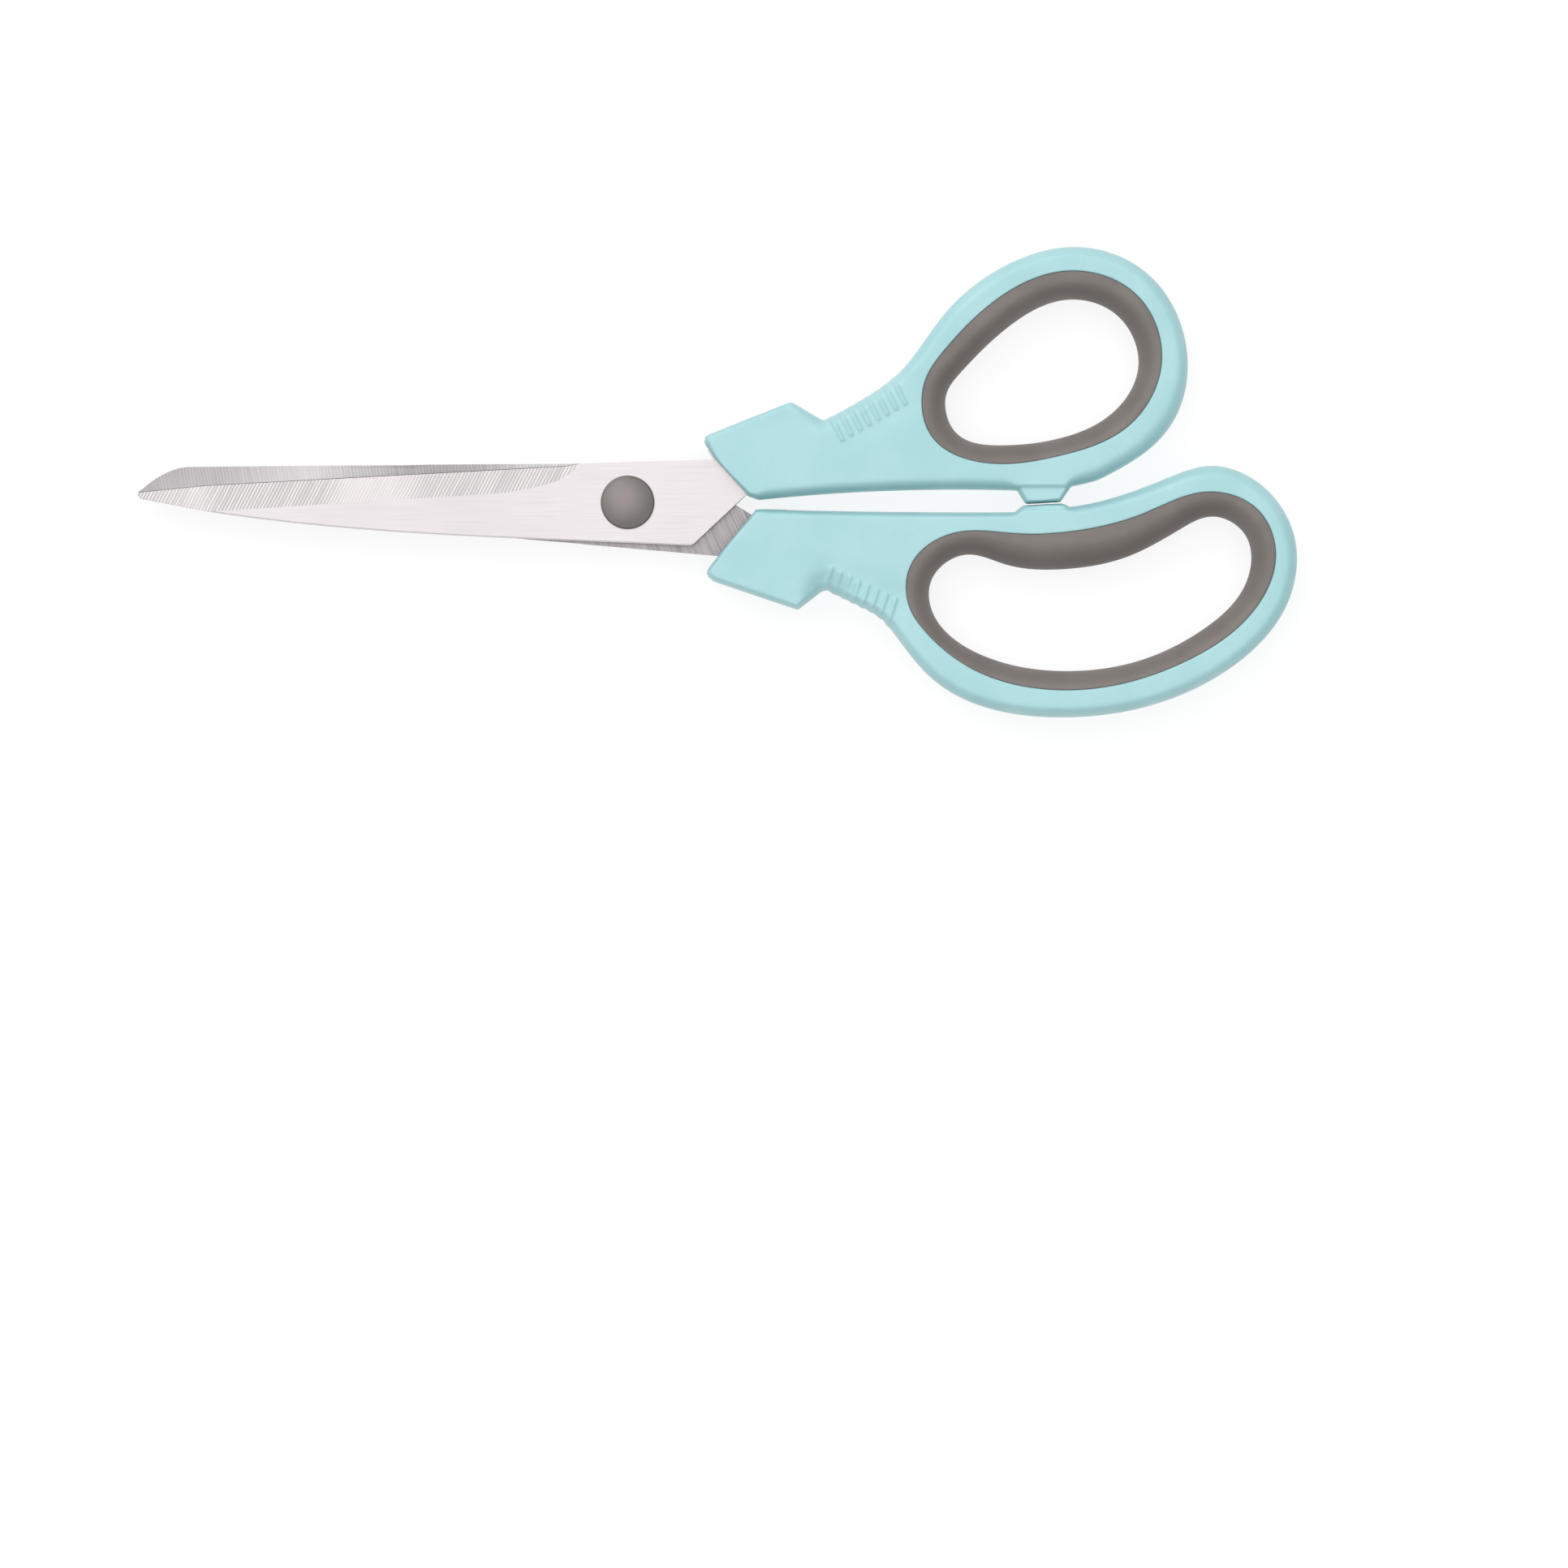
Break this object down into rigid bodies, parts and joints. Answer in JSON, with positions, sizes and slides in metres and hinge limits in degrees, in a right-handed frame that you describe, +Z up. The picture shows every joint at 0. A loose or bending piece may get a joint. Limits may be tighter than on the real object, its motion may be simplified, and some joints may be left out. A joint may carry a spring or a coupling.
{
  "type": "office scissors",
  "caption": "Office scissors: two ground steel blades on a capped pivot screw, moulded handles with soft grip linings; the halves open about one hinge.",
  "frame": {"origin": "centre of the closed scissors' footprint, on the table", "axes": "+X from the blade tips to the finger loops, +Y from the finger loop to the thumb loop, +Z up, along the pivot axis"},
  "size_m": [0.2159, 0.0876, 0.011],
  "materials": {
    "blade_steel": "polished flats, cross-ground bevels",
    "handle_plastic": "satin moulded, light teal",
    "grip_rubber": "soft-touch warm grey",
    "cap_plastic": "satin moulded, warm grey",
    "hardware_steel": "zinc plated",
    "washer_nylon": "natural nylon"
  },
  "bodies": {
    "finger_half": {"rear_blade": "blade_steel", "finger_handle": "handle_plastic", "finger_grip": "grip_rubber"},
    "thumb_half": {"front_blade": "blade_steel", "thumb_handle": "handle_plastic", "thumb_grip": "grip_rubber", "pivot_screw": "hardware_steel", "blade_washer": "washer_nylon", "spring_washer": "hardware_steel", "pivot_nut": "hardware_steel", "front_cap": "cap_plastic", "rear_cap": "cap_plastic"}
  },
  "joints": [
    {"name": "blade_pivot", "type": "hinge", "parent": "finger_half", "child": "thumb_half", "pos_m": [-0.01675, -0.0038, 0.0055], "axis": [0, 0, 1], "range_deg": [0, 115]}
  ]
}
